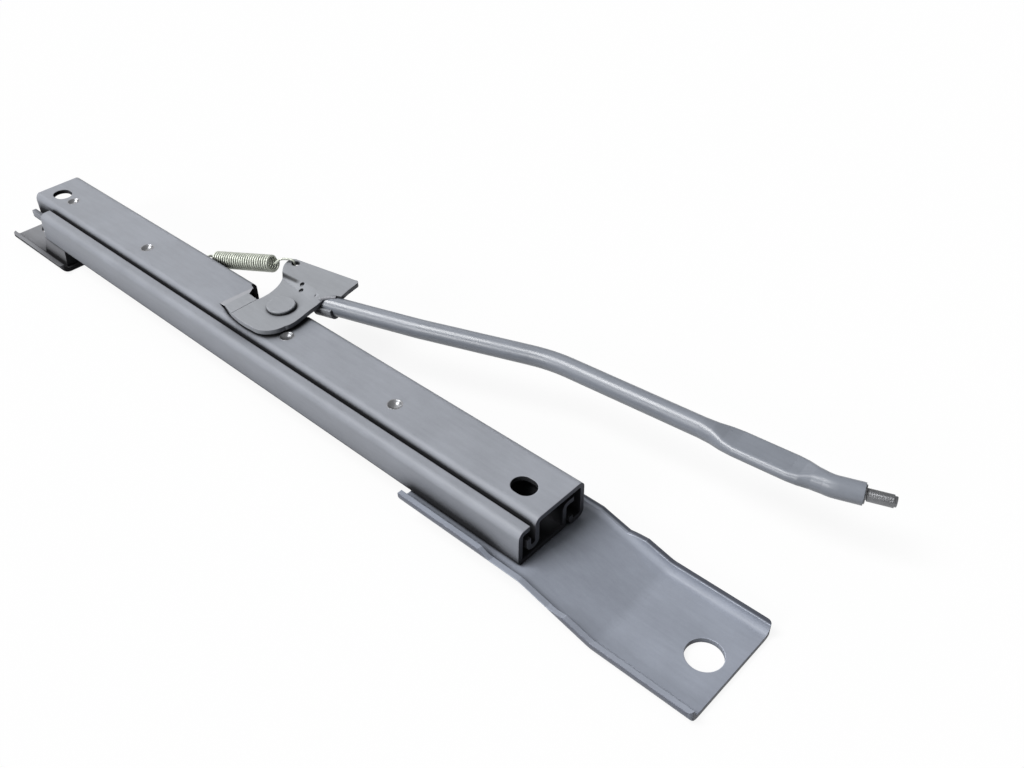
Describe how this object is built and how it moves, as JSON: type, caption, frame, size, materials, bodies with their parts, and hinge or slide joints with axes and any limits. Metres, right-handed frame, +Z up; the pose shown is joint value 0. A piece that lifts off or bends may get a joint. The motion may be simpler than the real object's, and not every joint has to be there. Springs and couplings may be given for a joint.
{
  "type": "seat slide rail",
  "caption": "Steel seat slide: a flanged top rail runs on rollers over a slotted lower rail with stepped floor feet; a sprung lever with a long bent handle frees the lock.",
  "frame": {"origin": "centre of the rear floor hole, on the floor plane under the feet", "axes": "+X forward along the rail, towards the handle's tip; +Y to the side of the lever and handle; +Z up"},
  "size_m": [0.5371, 0.1251, 0.0418],
  "materials": {
    "rail_paint": "satin silver grey",
    "lever_paint": "satin silver grey",
    "spring_zinc": "zinc plated wire, slightly green",
    "roller_steel": "ground steel",
    "stud_steel": "dark steel"
  },
  "bodies": {
    "lower": {"lower_rail": "rail_paint", "front_bracket": "rail_paint", "rear_bracket": "rail_paint", "front_bracket_rear_rivet": "rail_paint", "front_bracket_front_rivet": "rail_paint", "rear_bracket_rear_rivet": "rail_paint", "rear_bracket_front_rivet": "rail_paint"},
    "upper": {"upper_rail": "rail_paint", "pivot_rivet": "lever_paint", "pivot_washer": "roller_steel", "return_spring": "spring_zinc"},
    "lever": {"lever_plate": "lever_paint", "lock_comb": "lever_paint", "tube_saddle": "lever_paint", "saddle_weld": "lever_paint", "handle_tube": "lever_paint", "handle_insert": "lever_paint", "handle_stud": "stud_steel"},
    "rear_roller_body": {"rear_roller": "roller_steel"},
    "front_roller_body": {"front_roller": "roller_steel"}
  },
  "joints": [
    {"name": "rail_slide", "type": "slide", "parent": "lower", "child": "upper", "axis": [1, 0, 0], "range_m": [-0.063, 0.063]},
    {"name": "rear_roller_travel", "type": "slide", "parent": "lower", "child": "rear_roller_body", "axis": [1, 0, 0], "range_m": [-0.0315, 0.0315]},
    {"name": "front_roller_travel", "type": "slide", "parent": "lower", "child": "front_roller_body", "axis": [1, 0, 0], "range_m": [-0.0315, 0.0315]},
    {"name": "lever_swing", "type": "hinge", "parent": "upper", "child": "lever", "pos_m": [0.2285, 0.0132, 0.0334], "axis": [0, 0, 1], "range_deg": [-6, 0], "stiffness_Nm_per_rad": 2.2, "springref_deg": 8.59, "deforming": ["return_spring"]}
  ],
  "couplings": [
    {"joint": "rear_roller_travel", "follows": "rail_slide", "ratio": 0.5},
    {"joint": "front_roller_travel", "follows": "rail_slide", "ratio": 0.5}
  ]
}
